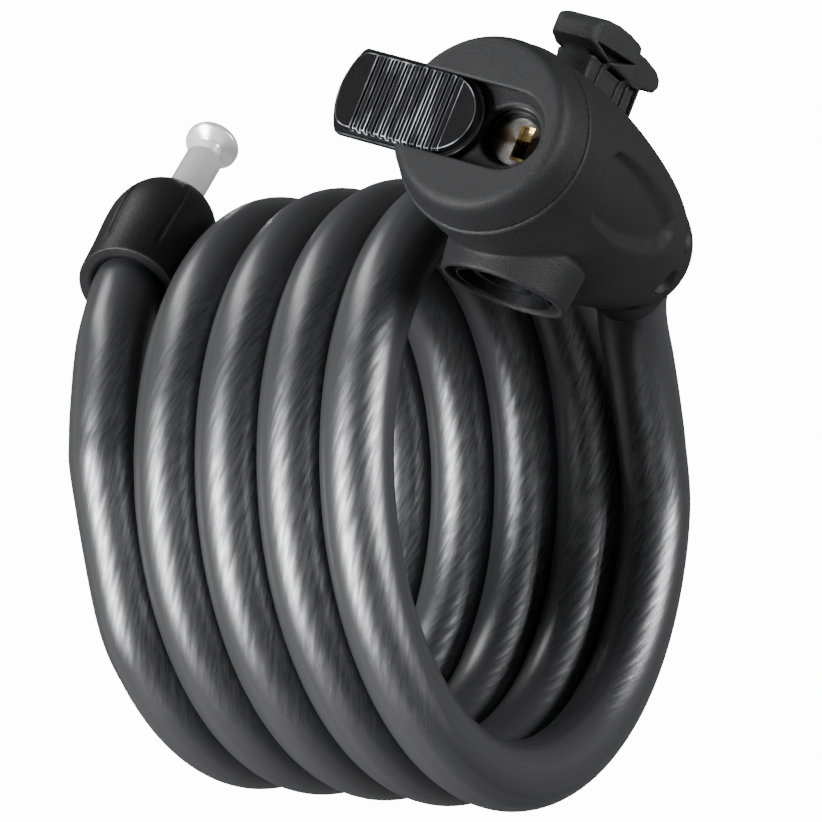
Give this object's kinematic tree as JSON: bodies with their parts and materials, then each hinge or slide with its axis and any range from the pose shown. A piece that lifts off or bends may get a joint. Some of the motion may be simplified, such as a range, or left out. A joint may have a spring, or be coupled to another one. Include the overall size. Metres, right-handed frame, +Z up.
{
  "type": "cable lock",
  "caption": "Self-coiling keyed cable lock: an egg-shaped lock head with a sliding dust cover and bracket tongue, and a sheathed cable coil ending in a mushroom-headed locking pin.",
  "frame": {"origin": "middle of the top of the bracket tongue's flange, by which the lock hangs in its bracket", "axes": "+Y from the key face back along the lock head, +Z up from the head to the tongue, +X across the key face towards the keyhole; the coil lies towards -X"},
  "size_m": [0.1046, 0.1276, 0.1312],
  "materials": {
    "shell": "fine satin texture",
    "tongue": "coarse grained moulding",
    "screw": "machine turned",
    "zinc": "die-cast zinc",
    "brass": "machined",
    "nickel": "turned, nickel plated",
    "steel": "bright stamped",
    "spring": "drawn wire",
    "cover": "glossy ribbed grip",
    "sheath": "smoked translucent vinyl",
    "strand": "twisted wire rope",
    "ferrule": "satin moulding",
    "pin": "polished nickel"
  },
  "bodies": {
    "head": {"rear_shell": "shell", "front_cap": "shell", "bracket_tongue": "tongue", "tongue_screw_front": "screw", "tongue_screw_rear": "screw", "lock_frame": "zinc", "lock_barrel": "brass", "barrel_key": "zinc", "latch_guide": "zinc", "guide_post_1": "steel", "guide_post_2": "steel", "socket_sleeve": "steel", "ejector_spring": "spring", "cable_anchor": "zinc", "anchor_pin": "steel", "cable_gland": "ferrule", "dimple_plug_1": "shell", "dimple_plug_2": "shell", "dimple_plug_3": "shell", "cable_lead": "sheath", "cable_coil": "sheath", "cable_tail": "sheath", "plug_ferrule": "ferrule", "plug_crimp": "zinc", "locking_pin": "pin"},
    "cover": {"dust_cover": "cover"},
    "cylinder": {"key_plug": "nickel", "cam_disc": "zinc"},
    "wafer_a": {"wafer_1": "brass"},
    "wafer_b": {"wafer_2": "brass"},
    "wafer_c": {"wafer_3": "brass"},
    "wafer_d": {"wafer_4": "brass"},
    "latch": {"latch_plate": "steel"},
    "ejector": {"ejector_ring": "steel"}
  },
  "joints": [
    {"name": "dust_cover_slide", "type": "slide", "parent": "head", "child": "cover", "axis": [1, 0, 0], "range_m": [0, 0.0122]},
    {"name": "plug_turn", "type": "hinge", "parent": "head", "child": "cylinder", "pos_m": [0.0045, -0.022, -0.0286], "axis": [0, 1, 0], "range_deg": [0, 90]},
    {"name": "latch_slide", "type": "slide", "parent": "head", "child": "latch", "axis": [1, 0, 0], "range_m": [0, 0.00396]},
    {"name": "ejector_slide", "type": "slide", "parent": "head", "child": "ejector", "axis": [0, 0, 1], "range_m": [0, 0.0034], "stiffness_N_per_m": 150, "springref_m": -0.002, "deforming": ["ejector_spring"]},
    {"name": "wafer_1_slide", "type": "slide", "parent": "cylinder", "child": "wafer_a", "axis": [0, 0, 1], "range_m": [-0.0003, 0.0003], "stiffness_N_per_m": 20},
    {"name": "wafer_2_slide", "type": "slide", "parent": "cylinder", "child": "wafer_b", "axis": [0, 0, 1], "range_m": [-0.0003, 0.0003], "stiffness_N_per_m": 20},
    {"name": "wafer_3_slide", "type": "slide", "parent": "cylinder", "child": "wafer_c", "axis": [0, 0, 1], "range_m": [-0.0003, 0.0003], "stiffness_N_per_m": 20},
    {"name": "wafer_4_slide", "type": "slide", "parent": "cylinder", "child": "wafer_d", "axis": [0, 0, 1], "range_m": [-0.0003, 0.0003], "stiffness_N_per_m": 20}
  ],
  "couplings": [
    {"joint": "plug_turn", "follows": "latch_slide", "rad_per_m": 396.6}
  ]
}
